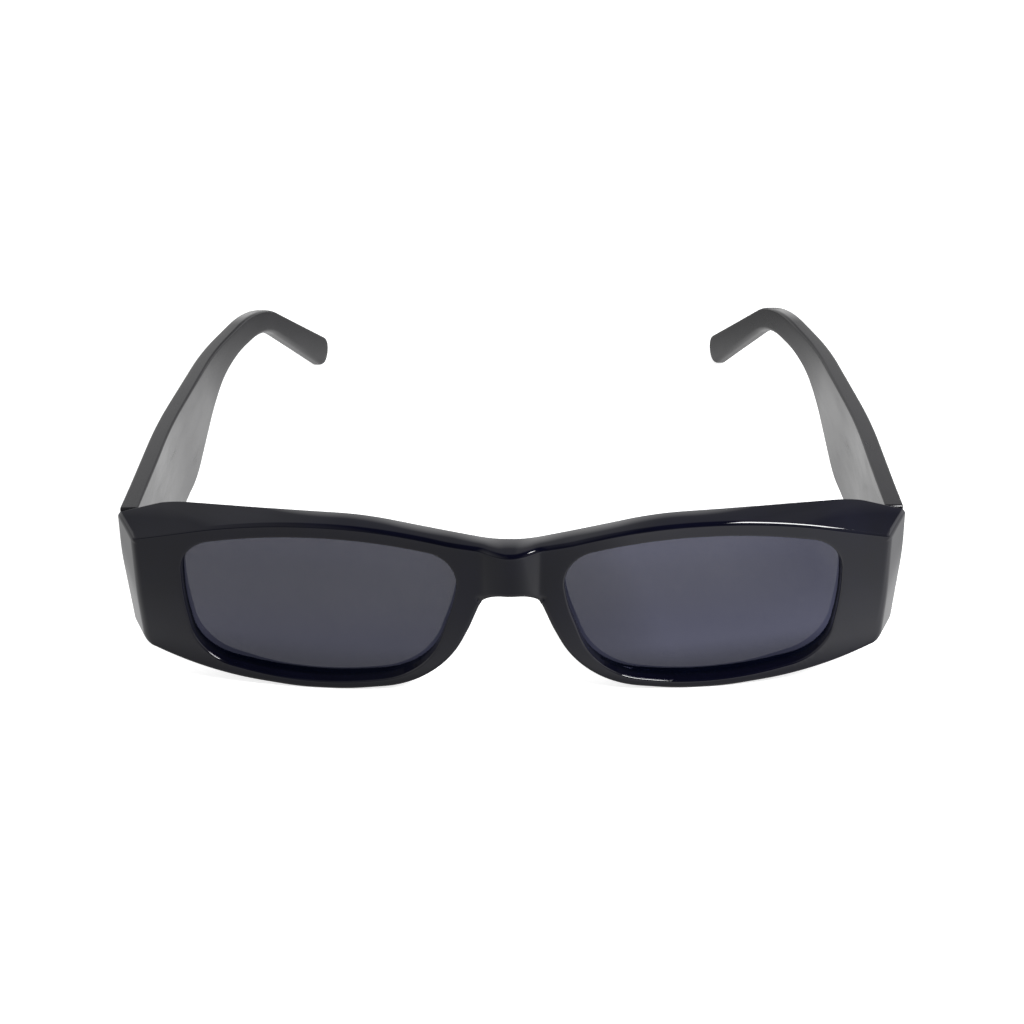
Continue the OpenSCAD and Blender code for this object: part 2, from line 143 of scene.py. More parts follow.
class Path:
    """Straight stretches and arcs through corner points, read at a stretch's number plus a fraction."""

    def __init__(self, corners, closed=True):
        points = [np.array(c[:2], float) for c in corners]
        count, ends, self.pieces, self.arc_of = len(points), [], [], {}
        for i, point in enumerate(points):
            radius = corners[i][2]
            if radius == 0:
                ends.append((point, point, None, 0))
                continue
            u, v = unit(points[i - 1] - point), unit(points[(i + 1) % count] - point)
            half = math.acos(float(np.clip(u @ v, -1, 1))) / 2
            run = radius / math.tan(half)
            centre = point + unit(u + v) * radius / math.sin(half)
            ends.append((point + u * run, point + v * run, centre, radius))
        for i, (start, end, centre, radius) in enumerate(ends):
            if centre is not None:
                s, e = start - centre, end - centre
                sweep = math.atan2(s[0] * e[1] - s[1] * e[0], s @ e)
                self.arc_of[i] = len(self.pieces)
                self.pieces.append(("arc", centre, radius, math.atan2(s[1], s[0]), sweep))
            if closed or i < count - 1:
                after = ends[(i + 1) % count][0]
                if np.linalg.norm(after - end) > 1e-6:
                    self.pieces.append(("line", end, after))

    def weight(self, piece, pitch, arc_step):
        """How many steps a stretch deserves, by its length and its turning."""
        if piece[0] == "line":
            return float(np.linalg.norm(piece[2] - piece[1])) / pitch
        return abs(piece[4]) * piece[2] / pitch + abs(piece[4]) / math.radians(arc_step)

    def at(self, place):
        """Point and outward normal at one place."""
        i = min(int(place), len(self.pieces) - 1)
        part, piece = place - i, self.pieces[i]
        if piece[0] == "line":
            d = unit(piece[2] - piece[1])
            return piece[1] + (piece[2] - piece[1]) * part, np.array([d[1], -d[0]])
        a = piece[3] + piece[4] * part
        ray = np.array([math.cos(a), math.sin(a)])
        return piece[1] + piece[2] * ray, ray * math.copysign(1, piece[4])

    def read(self, places):
        found = [self.at(p) for p in places]
        return np.array([f[0] for f in found]), np.array([f[1] for f in found])

    def around(self, pitch, arc_step):
        """Places all the way round a closed path."""
        places = []
        for i, piece in enumerate(self.pieces):
            steps = max(1, math.ceil(self.weight(piece, pitch, arc_step)))
            places += [i + k / steps for k in range(steps)]
        return places

    def between(self, low, high, steps, pitch, arc_step):
        """Evenly weighted places from low to high, with the first and without the last."""
        knots, sums = [low], [0.0]
        for i in range(int(low), min(int(math.ceil(high)), len(self.pieces))):
            a, b = max(low, i), min(high, i + 1)
            if b > a:
                knots.append(b)
                sums.append(sums[-1] + (b - a) * self.weight(self.pieces[i], pitch, arc_step))
        return np.interp(np.arange(steps) / steps * sums[-1], sums, knots), sums[-1]

    def find_x(self, x, low, high):
        """Place between low and high where the path crosses x."""
        rising = self.at(high)[0][0] > self.at(low)[0][0]
        for _ in range(50):
            mid = (low + high) / 2
            if (self.at(mid)[0][0] < x) == rising:
                low = mid
            else:
                high = mid
        return (low + high) / 2


def read_at(table, y):
    """Value between the rows of a table, which changes evenly from row to row."""
    for (y0, a), (y1, b) in zip(table, table[1:]):
        if y < y1:
            s = min(1.0, max(0.0, (y - y0) / (y1 - y0)))
            return a + (b - a) * s
    return table[-1][1]


def soft_max(a, b, k):
    """The larger of two values, rounded where they cross."""
    return 0.5 * (a + b + np.sqrt((a - b) ** 2 + k * k))


def bow_y(x, depth=0.0):
    """The front's bow at some depth behind its face."""
    return BOW_R - np.sqrt((BOW_R - depth) ** 2 - np.square(x))


def face_y(x, z=None):
    """The front face, with the bridge's slight bulge."""
    return bow_y(x) - BULGE * soft_max(1 - np.square(x / BULGE_HALF_W), 0, BULGE_BLEND)


def back_y(x, z=None):
    """The back of the rims, thickening to the flat backs of the end pieces."""
    start = bow_y(THICKEN_X, RIM_T)
    wedge = start + (np.abs(x) - THICKEN_X) / (END_BACK_X - THICKEN_X) * (END_BACK_Y - start)
    return -soft_max(-END_BACK_Y, -soft_max(bow_y(x, RIM_T), wedge, BACK_BLEND), BACK_BLEND)


class Skin:
    """Collects a mesh's points and faces."""

    def __init__(self):
        self.points, self.faces = [], []

    def ring(self, points):
        start = len(self.points)
        self.points += [tuple(p) for p in points]
        return list(range(start, start + len(points)))

    def join(self, a, b, closed=True):
        count = len(a)
        for i in range(count if closed else count - 1):
            j = (i + 1) % count
            self.faces.append((a[i], a[j], b[j], b[i]))

    def loft(self, rings, closed=True):
        for a, b in zip(rings, rings[1:]):
            self.join(a, b, closed)

    def cap(self, loops, flat, lift, pitch, fine=None):
        """Fills the region inside the first loop and outside the others with a dense net.
        flat takes a point of space to the plane and lift takes it back."""
        rim = [i for loop in loops for i in loop]
        plane = [np.array(flat(self.points[i])) for i in rim]
        edges, start, rings = [], 0, []
        for loop in loops:
            n = len(loop)
            edges += [(start + k, start + (k + 1) % n) for k in range(n)]
            rings.append(np.array(plane[start:start + n]))
            start += n
        grid = net(rings, pitch, fine)
        inside = [self.ring([lift(*g)])[0] for g in grid]
        every = rim + inside
        flat_points = [Vector(p) for p in plane] + [Vector(g) for g in grid]
        out = delaunay_2d_cdt(flat_points, edges, [], 0, 1e-7)
        name = [every[o[0]] for o in out[3]]
        triangles = [tuple(name[k] for k in face) for face in out[2]]
        fences = {frozenset((every[a], every[b])) for a, b in edges}
        beside = {}
        for t, face in enumerate(triangles):
            for k in range(3):
                beside.setdefault(frozenset((face[k], face[k - 1])), []).append(t)
        # The region is what can be reached from its inner points without crossing a loop
        found = {t for t, face in enumerate(triangles) if set(face) & set(inside)}
        todo = list(found)
        while todo:
            face = triangles[todo.pop()]
            for k in range(3):
                edge = frozenset((face[k], face[k - 1]))
                for t in [] if edge in fences else beside[edge]:
                    if t not in found:
                        found.add(t)
                        todo.append(t)
        self.faces += [triangles[t] for t in sorted(found)]

    def object(self, name, mirrored=False, both=False):
        """The finished object, in metres in the row frame, mirrored or with its mirrored half added."""
        points = np.array(self.points) + [0, FRONT_Y, 0]
        points *= MM
        if mirrored:
            points[:, 0] *= -1
        mesh = bpy.data.meshes.new(name)
        mesh.from_pydata(points.tolist(), [], self.faces)
        piece = bpy.data.objects.new(name, mesh)
        bpy.context.scene.collection.objects.link(piece)
        build = bmesh.new()
        build.from_mesh(mesh)
        if both:
            twin = bmesh.ops.duplicate(build, geom=build.verts[:] + build.edges[:] + build.faces[:])
            for v in twin["geom"]:
                if isinstance(v, bmesh.types.BMVert):
                    v.co.x *= -1
            seam = [v for v in build.verts if abs(v.co.x) < 1e-7]
            bmesh.ops.remove_doubles(build, verts=seam, dist=1e-6)
        bmesh.ops.dissolve_degenerate(build, edges=build.edges[:], dist=1e-7)
        bmesh.ops.recalc_face_normals(build, faces=build.faces[:])
        for f in build.faces:
            f.smooth = True
        for e in build.edges:
            e.smooth = len(e.link_faces) != 2 or e.calc_face_angle() < SHARP_TURN
        build.to_mesh(mesh)
        build.free()
        weighted = piece.modifiers.new("even_shading", "WEIGHTED_NORMAL")
        weighted.keep_sharp = True
        return piece


def inside_of(rings, points):
    """Which points lie inside the first ring and outside the others."""
    hits = np.zeros(len(points), int)
    x, y = points[:, 0:1], points[:, 1:2]
    for ring in rings:
        a, b = ring, np.roll(ring, -1, axis=0)
        spans = (a[:, 1] > y) != (b[:, 1] > y)
        rise = np.where(a[:, 1] == b[:, 1], 1.0, b[:, 1] - a[:, 1])
        crossing = a[:, 0] + (b[:, 0] - a[:, 0]) * (y - a[:, 1]) / rise
        hits += (spans & (x < crossing)).sum(axis=1)
    return hits % 2 == 1


def net(rings, pitch, fine):
    """Points of a staggered grid inside a region, clear of its edges."""
    low, high = rings[0].min(axis=0), rings[0].max(axis=0)
    zones = [(low, high, pitch)] + ([fine] if fine else [])
    kept = []
    for k, (a, b, step) in enumerate(zones):
        rows = np.arange(a[1] + step / 2, b[1], step * ROW_PART)
        grid = np.array([(x + (r % 2) * step / 2, y) for r, y in enumerate(rows)
                         for x in np.arange(a[0] + step / 4, b[0], step)])
        if k == 0 and fine:
            inner = ((grid > fine[0]) & (grid < fine[1])).all(axis=1)
            grid = grid[~inner]
        grid = grid[inside_of(rings, grid)]
        edge = np.concatenate(rings)
        far = [np.min(np.sum((edge - g) ** 2, axis=1)) > (EDGE_PART * step) ** 2 for g in grid]
        kept.append(grid[far])
    return np.concatenate(kept)


def arc_between(corner, a, b, radius, steps):
    """Points of the rounding that leaves a corner along a and ends along b."""
    a, b = unit(a), unit(b)
    half = math.acos(float(np.clip(a @ b, -1, 1))) / 2
    run = radius / math.tan(half)
    middle = corner + unit(a + b) * radius / math.sin(half)
    start, end = corner + a * run - middle, corner + b * run - middle
    turn = math.acos(float(np.clip(unit(start) @ unit(end), -1, 1)))
    return [middle + (math.sin((1 - s) * turn) * start + math.sin(s * turn) * end) / math.sin(turn)
            for s in np.linspace(0, 1, steps + 1)]


def hermite(a, b, along_a, along_b, steps):
    """Points between a and b on a curve that leaves and arrives along two directions."""
    size = np.linalg.norm(b - a)
    found = []
    for s in np.linspace(0, 1, steps + 1)[1:-1]:
        found.append((2 * s ** 3 - 3 * s ** 2 + 1) * a + (s ** 3 - 2 * s ** 2 + s) * size * along_a
                     + (3 * s ** 2 - 2 * s ** 3) * b + (s ** 3 - s ** 2) * size * along_b)
    return found


def lifted(surface, point):
    """The point of a surface at one place across and up."""
    return np.array([point[0], surface(point[0], point[1]), point[1]])


def along(surface, point, direction):
    """Unit step in space along a surface."""
    here = lifted(surface, point)
    return unit(lifted(surface, point + 0.05 * direction) - here)


def front_wall():
    """The outer wall of the right half as profiles from the face's edge round to the back's edge."""
    face, back = Path(FACE_HALF, closed=False), Path(BACK_HALF, closed=False)
    marks = []
    for path in (face, back):
        own = [0.0] + [path.arc_of[c] + 0.5 for c in SHARED_CORNERS]
        own.append(path.find_x(BROW_X, own[-1] + 0.6, len(path.pieces) - 0.01))
        marks.append(own + [float(len(path.pieces))])
    places = [[], []]
    for k in range(len(marks[0]) - 1):
        needed = max(p.between(m[k], m[k + 1], 2, WALL_PITCH, WALL_TURN)[1]
                     for p, m in zip((face, back), marks))
        steps = max(2, math.ceil(needed))
        for path, mark, found in zip((face, back), marks, places):
            found += list(path.between(mark[k], mark[k + 1], steps, WALL_PITCH, WALL_TURN)[0])
    for mark, found in zip(marks, places):
        found.append(mark[-1] - 1e-9)
    profiles = []
    for f, b in zip(*places):
        (pf, nf), (pb, nb) = face.at(f), back.at(b)
        top, bottom = lifted(face_y, pf), lifted(back_y, pb)
        wall = unit(bottom - top)
        out = unit(nf + nb)
        out = np.array([out[0], 0, out[1]])
        rise = 4 * CROWN * max(0.0, out[2]) ** 2 / np.linalg.norm(bottom - top)
        from_face, from_back = unit(wall + out * rise), unit(-wall + out * rise)
        radius = FRONT_EDGE_R + END_EXTRA_R * max(0.0, out[0]) ** 4
        first = arc_between(top, along(face_y, pf, -nf), from_face, radius, EDGE_STEPS)
        last = arc_between(bottom, from_back, along(back_y, pb, -nb), BACK_EDGE_R, BACK_STEPS)
        profiles.append(first + hermite(first[-1], last[0], from_face, -from_back, CROWN_STEPS) + last)
    profiles = np.array(profiles)
    profiles[0, :, 0] = profiles[-1, :, 0] = 0
    return profiles


def opening_wall():
    """The lens opening's wall as profiles from the face's lip back past the groove to the back's lip."""
    path = Path(LENS_OUTLINE)
    groove = GROOVE * np.array([0, 1, 1, 0])
    depth = [LENS_RECESS - LENS_FIT, LENS_RECESS - LENS_FIT, LENS_RECESS + LENS_T + LENS_FIT,
             LENS_RECESS + LENS_T + LENS_FIT]
    profiles = []
    straight = np.array([0, 1.0, 0])
    for place in path.around(WALL_PITCH, WALL_TURN):
        p, n = path.at(place)
        lip = arc_between(lifted(face_y, p), along(face_y, p, n), straight, LIP_R, LIP_STEPS)
        steps = [np.array([q[0], bow_y(q[0], d), q[1]]) for q, d in
                 ((p + n * g, d) for g, d in zip(groove, depth))]
        rear = arc_between(lifted(back_y, p), -straight, along(back_y, p, n), BACK_EDGE_R, BACK_STEPS)
        profiles.append(lip + steps + rear)
    return np.array(profiles)


def pocket(skin, loop, deeper):
    """Walls and floor of a shallow pocket below a loop on a face."""
    floor = skin.ring([deeper(np.array(skin.points[i])) for i in loop])
    skin.join(loop, floor)
    skin.faces.append(tuple(floor))


def rectangle(low_a, high_a, low_b, high_b):
    """Points round the edge of a plate's pocket."""
    across, up = (np.arange(n) / n for n in (math.ceil((high_a - low_a) / PLATE_PITCH),
                                             math.ceil((high_b - low_b) / PLATE_PITCH)))
    return ([(low_a + (high_a - low_a) * s, low_b) for s in across]
            + [(high_a, low_b + (high_b - low_b) * s) for s in up]
            + [(high_a - (high_a - low_a) * s, high_b) for s in across]
            + [(low_a, high_b - (high_b - low_b) * s) for s in up])


def make_front():
    """Both rims, the bridge, the carved brow and the end pieces as one body."""
    skin = Skin()
    outer = front_wall()
    rings = [skin.ring(outer[:, k]) for k in range(outer.shape[1])]
    skin.loft(rings, closed=False)
    inner = opening_wall()
    inner_rings = [skin.ring(inner[:, k]) for k in range(inner.shape[1])]
    skin.loft(inner_rings)
    for ring, hole, surface, plate in ((rings[0], inner_rings[0], face_y, None),
                                       (rings[-1], inner_rings[-1], back_y, FRONT_PLATE)):
        low, high = skin.points[ring[0]][2], skin.points[ring[-1]][2]
        steps = math.ceil((high - low) / SEAM_PITCH)
        seam = skin.ring([lifted(surface, np.array([0, high + (low - high) * k / steps]))
                          for k in range(1, steps)])
        loops = [ring + seam, hole]
        if plate:
            recess = skin.ring([lifted(surface, np.array(p)) for p in rectangle(*plate)])
            loops.append(recess)
            pocket(skin, recess, lambda p: (p[0], END_BACK_Y - PLATE_POCKET, p[2]))
        skin.cap(loops, lambda p: (p[0], p[2]), lambda x, z, s=surface: (x, s(x), z), FRONT_NET,
                 BRIDGE_NET)
    return skin.object("front_shell", both=True)


def make_lens(name, mirrored):
    """A curved lens whose edge stands in the groove of its rim."""
    skin = Skin()
    path = Path(LENS_OUTLINE)
    points, normals = path.read(path.around(LENS_PITCH, LENS_TURN))

    def surface(depth):
        return lambda x, z: bow_y(x, depth) - LENS_SAG * (1 - ((z - LENS_MID_Z) / LENS_HALF_H) ** 2)

    def ring_at(by, depth):
        return skin.ring([lifted(surface(depth), p + n * by) for p, n in zip(points, normals)])

    grow = GROOVE - LENS_FIT
    low, high = LENS_RECESS + LENS_ROOM, LENS_RECESS + LENS_T - LENS_ROOM
    front, back = surface(low), surface(high)
    rings = [ring_at(grow - LENS_BEVEL, low), ring_at(grow, low + LENS_BEVEL),
             ring_at(grow, high - LENS_BEVEL), ring_at(grow - LENS_BEVEL, high)]
    skin.loft(rings)
    for ring, face in ((rings[0], front), (rings[-1], back)):
        skin.cap([ring], lambda p: (p[0], p[2]), lambda x, z, s=face: (x, s(x, z), z), LENS_NET)
    return skin.object(name, mirrored)


def make_pad(name, mirrored):
    """A pad whose crowned side faces the nose, on the back of the rim."""
    skin = Skin()
    lean = math.radians(PAD_LEAN)
    half_run = PAD_RUN / 2 + PAD_R
    path = Path([[u * PAD_R, v * half_run, PAD_END_R] for u, v in ((1, -1), (1, 1), (-1, 1), (-1, -1))])
    points, normals = path.read(path.around(PAD_PITCH, PAD_TURN))

    def place(u, v, depth):
        reach = PAD_CROWN_R - PAD_R
        limit = reach - math.sqrt(PAD_CROWN_R ** 2 - min(depth ** 2 + v ** 2, CROWN_LIMIT))
        u = float(soft_max(u, limit, PAD_BLEND)) if u < 0 else u
        x = PAD_X + u * math.cos(lean) - v * math.sin(lean)
        z = PAD_Z + u * math.sin(lean) + v * math.cos(lean)
        return x, float(bow_y(x, RIM_T)) + GLUE + depth, z

    rings = [skin.ring([place(*(p - n * inset), depth) for p, n in zip(points, normals)])
             for inset, depth in PAD_PROFILE]
    skin.loft(rings)
    for ring in (rings[0], rings[-1]):
        centre = skin.ring([np.mean([skin.points[i] for i in ring], axis=0)])[0]
        count = len(ring)
        skin.faces += [(ring[k], ring[(k + 1) % count], centre) for k in range(count)]
    return skin.object(name, mirrored)


def make_temple(name, mirrored):
    """A paddle that follows its plan, thins toward the tip and has rounded edges."""
    skin = Skin()
    side, plan = Path(TEMPLE_SIDE), Path(TEMPLE_PLAN, closed=False)
    outer, away = plan.read(np.linspace(0, len(plan.pieces) - 1e-9, 900))

    def place(y, z, depth):
        """The point at a depth below the outer side."""
        moved = outer - away * depth
        return float(np.interp(y, moved[:, 1], moved[:, 0])), y, z

    def inner(y):
        return read_at(TEMPLE_THIN, y)

    def tuck(y, z):
        below = min(1, max(0, (TUCK_TOP_Z - z) / TUCK_FADE))
        return TUCK * max(0, 1 - (y - TEMPLE_Y) / TUCK_RUN) * below

    points, normals = side.read(side.around(TEMPLE_PITCH, TEMPLE_TURN))
    turn = np.linspace(0, math.pi / 2, 6)
    edge = [read_at(TEMPLE_EDGE_R, p[0]) for p in points]

    def ring(a, facing):
        """One step of an edge's rounding, on the inner side where facing is true."""
        found = []
        for p, n, r in zip(points, normals, edge):
            y, z = p - n * r * (1 - math.sin(a))
            depth = r * (1 - math.cos(a))
            found.append(place(y, z, inner(y) - depth if facing else depth + tuck(y, z)))
        return skin.ring(found)

    rings = [ring(a, False) for a in turn]
    rings.append(skin.ring([place(*p, inner(p[0]) / 2) for p in points]))
    rings += [ring(a, True) for a in reversed(turn)]
    skin.loft(rings)
    flat = lambda p: (p[1], p[2])
    skin.cap([rings[0]], flat, lambda y, z: place(y, z, tuck(y, z)), TEMPLE_NET)
    recess = skin.ring([place(y, z, TEMPLE_T) for y, z in rectangle(*TEMPLE_PLATE)])
    pocket(skin, recess, lambda p: place(p[1], p[2], TEMPLE_T - PLATE_POCKET))
    skin.cap([rings[-1], recess], flat, lambda y, z: place(y, z, inner(y)), TEMPLE_NET)
    return skin.object(name, mirrored)


# Pieces
front = make_front()
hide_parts("front_frame")
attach(front, "front")
PIECES = {"front": [front], "lens": [], "nose_pad": [], "temple": []}
for side, mirrored in (("left", False), ("right", True)):
    for kind, make, body, slot in (("lens", make_lens, "front", "lens"),
                                   ("nose_pad", make_pad, "front", "pad_plastic"),
                                   ("temple", make_temple, side + "_temple", "temple_plastic")):
        piece = make(f"{kind}_skin_{side}", mirrored)
        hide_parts(f"{kind}_{side}")
        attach(piece, body)
        PIECES[kind].append(piece)


# Materials
def shader(name, **values):
    """A node tree with a principled shader, whose plain values are set on its own sockets."""
    material = bpy.data.materials.new(name)
    material.use_nodes = True
    tree = material.node_tree
    base = tree.nodes["Principled BSDF"]
    for key, value in values.items():
        base.inputs[key.replace("_", " ")].default_value = value
    return material, tree, base


def noise(tree, scale, detail=3.0, stretch=(1, 1, 1), roughness=0.55, seed=0.0):
    """Noise in the object's own metres, stretched by a factor on each axis."""
    place = tree.nodes.new("ShaderNodeTexCoord")
    mapping = tree.nodes.new("ShaderNodeMapping")
    mapping.inputs["Scale"].default_value = stretch
    mapping.inputs["Location"].default_value = (seed, seed * 0.7, -seed * 0.3)
    texture = tree.nodes.new("ShaderNodeTexNoise")
    texture.inputs["Scale"].default_value = scale
    texture.inputs["Detail"].default_value = detail
    texture.inputs["Roughness"].default_value = roughness
    tree.links.new(place.outputs["Object"], mapping.inputs["Vector"])
    tree.links.new(mapping.outputs["Vector"], texture.inputs["Vector"])
    return texture.outputs["Fac"]


def ramp(tree, value, stops, interpolation="LINEAR"):
    """Colours or greys between stops of [place, colour]."""
    node = tree.nodes.new("ShaderNodeValToRGB")
    node.color_ramp.interpolation = interpolation
    elements = node.color_ramp.elements
    while len(elements) < len(stops):
        elements.new(0.5)
    for element, (place, colour) in zip(elements, stops):
        element.position = place
        grey = isinstance(colour, (int, float))
        element.color = (colour, colour, colour, 1) if grey else (*colour, 1)
    tree.links.new(value, node.inputs["Fac"])
    return node.outputs["Color"]


def bump(tree, base, layers):
    """Bumps of [height source, depth in metres, strength], one on another."""
    normal = None
    for height, depth, strength in layers:
        node = tree.nodes.new("ShaderNodeBump")
        node.inputs["Distance"].default_value = depth
        node.inputs["Strength"].default_value = strength
        tree.links.new(height, node.inputs["Height"])
        if normal:
            tree.links.new(normal, node.inputs["Normal"])
        normal = node.outputs["Normal"]
    tree.links.new(normal, base.inputs["Normal"])


def black_plastic(name, dark, light, rough, waves, grain, streaks):
    """Black that varies between two shades, with an uneven polish, slow waves and a fine grain."""
    material, tree, base = shader(name, IOR=1.5)
    tree.links.new(ramp(tree, noise(tree, 90, 4, seed=1.3), [(0.3, dark), (0.7, light)]),
                   base.inputs["Base Color"])
    polish = noise(tree, 260, 6, streaks, 0.6, seed=2.1)
    tree.links.new(ramp(tree, polish, [(0.25, rough[0]), (0.6, rough[1]), (0.8, rough[2])]),
                   base.inputs["Roughness"])
    bump(tree, base, [(noise(tree, 120, 1.5, seed=3.7), 0.0002, waves),
                      (noise(tree, 1900, 2, streaks, seed=5.1), 0.00003, grain)])
    return material


def metal(name, colour, rough, stretch, anisotropic):
    """Brushed metal, whose strokes run along the axis with the small stretch."""
    material, tree, base = shader(name, Metallic=1.0, Anisotropic=anisotropic)
    tree.links.new(ramp(tree, noise(tree, 700, 4, seed=0.4),
                        [(0.3, [c * 0.82 for c in colour]), (0.7, colour)]), base.inputs["Base Color"])
    tree.links.new(ramp(tree, noise(tree, 1500, 5, stretch, seed=0.9), [(0.3, rough[0]), (0.7, rough[1])]),
                   base.inputs["Roughness"])
    bump(tree, base, [(noise(tree, 4000, 3, stretch, seed=1.7), 0.00002, 0.25)])
    return material


def lens_glass():
    """Dark glass, a little clear, with a bluish coating and faint smears."""
    material, tree, base = shader("tinted_lens", IOR=1.84, Alpha=0.81,
                                  Specular_Tint=(0.58, 0.6, 1.0, 1.0))
    tree.links.new(ramp(tree, noise(tree, 60, 3, seed=4.4),
                        [(0.3, (0.001, 0.002, 0.006)), (0.7, (0.002, 0.003, 0.009))]),
                   base.inputs["Base Color"])
    tree.links.new(ramp(tree, noise(tree, 180, 6, (1, 1, 0.4), 0.65, seed=6.0),
                        [(0.35, 0.03), (0.6, 0.06), (0.8, 0.12)]), base.inputs["Roughness"])
    bump(tree, base, [(noise(tree, 70, 1, seed=7.7), 0.0002, 0.012)])
    return material


MATERIALS = {
    "front": black_plastic("polished_black", (0.0012, 0.0014, 0.005), (0.0022, 0.0024, 0.0085),
                           (0.02, 0.04, 0.09), 0.03, 0.02, (1, 1, 1)),
    "temple": black_plastic("satin_black", (0.004, 0.004, 0.006), (0.007, 0.0065, 0.009),
                            (0.16, 0.24, 0.34), 0.03, 0.05, (1, 0.25, 1)),
    "nose_pad": black_plastic("moulded_black", (0.0015, 0.002, 0.004), (0.003, 0.0035, 0.006),
                              (0.06, 0.1, 0.18), 0.03, 0.03, (1, 1, 1)),
    "lens": lens_glass(),
}
for kind, pieces in PIECES.items():
    for piece in pieces:
        piece.data.materials.append(MATERIALS[kind])

METALS = {
    "hinge_leaf": metal("satin_nickel", (0.66, 0.63, 0.58), (0.2, 0.38), (1, 1, 0.1), 0.3),
    "temple_core": metal("drawn_wire", (0.6, 0.59, 0.57), (0.25, 0.45), (1, 0.05, 1), 0.5),
    "hinge_screw": metal("turned_steel", (0.7, 0.69, 0.67), (0.15, 0.3), (1, 1, 6), 0.4),
}
for node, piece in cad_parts.items():
    for key, material in METALS.items():
        if key in node:
            piece.data.materials.clear()
            piece.data.materials.append(material)
            if key != "temple_core":
                edge = piece.modifiers.new("eased_edges", "BEVEL")
                edge.width = METAL_BEVEL * MM
                edge.segments = 2
                edge.limit_method = "ANGLE"
                edge.angle_limit = SHARP_TURN


# Studio
# The light of the floor and of the surroundings: stops of [place, brightness], where places 0 and 1
# are the two ends of a span, in metres on the floor. In front of the glasses a row by x is multiplied
# by a row by y. Farther back a row by x holds beside the temples, and two rows by y between them,
# one for the photo's left half and one for its right half.
WHOLE_X, FRONT_Y_SPAN, REAR_Y_SPAN = (-0.25, 0.25), (-0.22, -0.02), (-0.1, 0.2)
FLOOR_ACROSS = [(0.0, 0.55), (0.3, 0.55), (0.4, 0.5), (0.46, 0.55), (0.5, 0.47), (0.54, 0.6), (0.57, 1.1),
                (0.61, 2.5), (0.7, 3.9), (1.0, 4.0)]
FLOOR_SHADE = [(0.0, 0.1), (0.15, 0.15), (0.27, 0.5), (0.38, 0.62), (0.5, 0.42), (0.62, 0.47), (0.68, 0.62),
               (0.715, 0.75), (1.0, 0.75)]
FLOOR_BESIDE = [(0.0, 0.52), (0.45, 0.52), (0.55, 0.6), (1.0, 0.6)]
# Both rows start dark just behind the front. This is a painted shadow of the rims on the floor's glow, which
# grows brighter farther back between the temples.
FLOOR_BETWEEN_WITH_RIM_SHADOW = [[(0.0, 0.07), (0.13, 0.08), (0.25, 0.45), (0.3, 0.52), (0.4, 0.64), (0.48, 0.62),
                  (0.54, 0.35), (0.6, 0.12), (1.0, 0.1)],
                 [(0.0, 0.07), (0.13, 0.08), (0.25, 0.3), (0.3, 0.34), (0.4, 0.5), (0.48, 0.6),
                  (0.54, 0.33), (0.6, 0.1), (1.0, 0.08)]]
# Where one part of the floor takes over from another: between the temples, in the right half, farther back
INSIDE_X, RIGHT_X, REAR_Y = (-0.1, 0.1), (-0.03, 0.03), (-0.1, 0.0)
INSIDE = [(0.0, 0.0), (0.11, 0.0), (0.15, 1.0), (0.85, 1.0), (0.89, 0.0), (1.0, 0.0)]
RIGHT = [(0.0, 0.0), (1.0, 1.0)]
REAR = [(0.0, 0.0), (0.22, 0.0), (0.3, 1.0), (1.0, 1.0)]
FLOOR_GLOW, FLOOR_SEEN = 2.0, 0.75
# Surroundings from front to back and from side to side, by the direction's y and x
DIRECTIONS = (-1, 1)
WORLD_DEPTH = [(0.0, 0.03), (0.51, 0.03), (0.58, 0.26), (0.68, 0.36), (0.8, 0.36), (0.89, 0.3), (0.92, 0.3),
               (0.95, 0.8), (1.0, 1.5)]
WORLD_SIDES = [(0.0, 0.9), (0.2, 0.52), (0.38, 0.2), (0.48, 0.0), (0.62, 0.0), (0.8, 0.34), (1.0, 1.2)]


def spread(tree, value, span, stops, interpolation):
    """Brightness by a value, with the stops laid between the ends of a span."""
    scale = tree.nodes.new("ShaderNodeMapRange")
    scale.inputs["From Min"].default_value, scale.inputs["From Max"].default_value = span
    tree.links.new(value, scale.inputs["Value"])
    return ramp(tree, scale.outputs["Result"], stops, interpolation)


def blend(tree, kind, factor, a, b):
    """Two colours put together, by a factor or in full."""
    node = tree.nodes.new("ShaderNodeMix")
    node.data_type, node.blend_type = "RGBA", kind
    if factor is None:
        node.inputs["Factor"].default_value = 1
    else:
        tree.links.new(factor, node.inputs["Factor"])
    tree.links.new(a, node.inputs["A"])
    tree.links.new(b, node.inputs["B"])
    return node.outputs["Result"]


def show(tree, out, seen, light):
    """Lets the camera see one shader while the other lights the glasses."""
    rays, choose = tree.nodes.new("ShaderNodeLightPath"), tree.nodes.new("ShaderNodeMixShader")
    tree.links.new(rays.outputs["Is Camera Ray"], choose.inputs["Fac"])
    tree.links.new(light.outputs[0], choose.inputs[1])
    tree.links.new(seen.outputs[0], choose.inputs[2])
    tree.links.new(choose.outputs[0], out.inputs["Surface"])


def place_in(tree, kind):
    """The x, y and z of the place on the floor, or of the direction in the world."""
    place, split = tree.nodes.new("ShaderNodeTexCoord"), tree.nodes.new("ShaderNodeSeparateXYZ")
    tree.links.new(place.outputs[kind], split.inputs[0])
    return split.outputs


